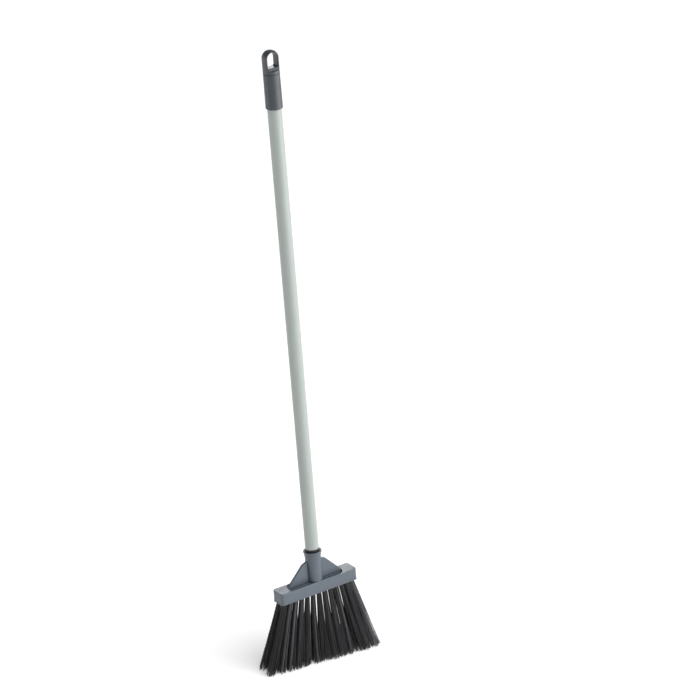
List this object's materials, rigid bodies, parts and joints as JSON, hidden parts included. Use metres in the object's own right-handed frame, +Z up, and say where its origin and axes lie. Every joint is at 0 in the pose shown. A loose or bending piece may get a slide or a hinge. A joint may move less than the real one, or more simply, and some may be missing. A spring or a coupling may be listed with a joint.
{
  "type": "angle broom",
  "caption": "Angle-trimmed lobby broom: fanned black bristle tufts in a narrow moulded head with webbed screw socket, straight coated steel handle, grip sleeve and hanging loop.",
  "frame": {"origin": "where the handle's axis meets the floor, on the trimmed ends of the bristles", "axes": "+Z up from the floor, +X along the head towards its long-bristled end, +Y across the head; the handle leans 5 degrees to -X"},
  "size_m": [0.23, 0.044, 1.0894],
  "materials": {
    "head_plastic": "satin",
    "grip_plastic": "satin",
    "coated_steel": "satin",
    "tip_plastic": "satin",
    "bristle": "satin",
    "anchor_wire": "satin"
  },
  "bodies": {
    "head": {"head_block": "head_plastic", "tuft_anchors": "anchor_wire", "tuft_01": "bristle", "tuft_02": "bristle", "tuft_03": "bristle", "tuft_04": "bristle", "tuft_05": "bristle", "tuft_06": "bristle", "tuft_07": "bristle", "tuft_08": "bristle", "tuft_09": "bristle", "tuft_10": "bristle", "tuft_11": "bristle", "tuft_12": "bristle", "tuft_13": "bristle", "tuft_14": "bristle", "tuft_15": "bristle", "tuft_16": "bristle", "tuft_17": "bristle", "tuft_18": "bristle", "tuft_19": "bristle", "tuft_20": "bristle", "tuft_21": "bristle", "tuft_22": "bristle", "tuft_23": "bristle", "tuft_24": "bristle", "tuft_25": "bristle", "tuft_26": "bristle", "tuft_27": "bristle", "tuft_28": "bristle", "tuft_29": "bristle", "tuft_30": "bristle", "tuft_31": "bristle", "tuft_32": "bristle", "tuft_33": "bristle", "tuft_34": "bristle", "tuft_35": "bristle", "tuft_36": "bristle", "tuft_37": "bristle", "tuft_38": "bristle"},
    "grip": {"grip_sleeve": "grip_plastic"},
    "handle": {"handle_tube": "coated_steel", "thread_tip": "tip_plastic", "hang_loop": "grip_plastic"}
  },
  "joints": [
    {"name": "handle_rise", "type": "slide", "parent": "head", "child": "grip", "axis": [-0.0872, 0, 0.9962], "range_m": [0, 0.0254]},
    {"name": "handle_turn", "type": "hinge", "parent": "grip", "child": "handle", "pos_m": [0, 0, 0], "axis": [-0.0872, 0, 0.9962], "range_deg": [0, 1800]}
  ],
  "couplings": [
    {"joint": "handle_turn", "follows": "handle_rise", "rad_per_m": 1236.8}
  ]
}
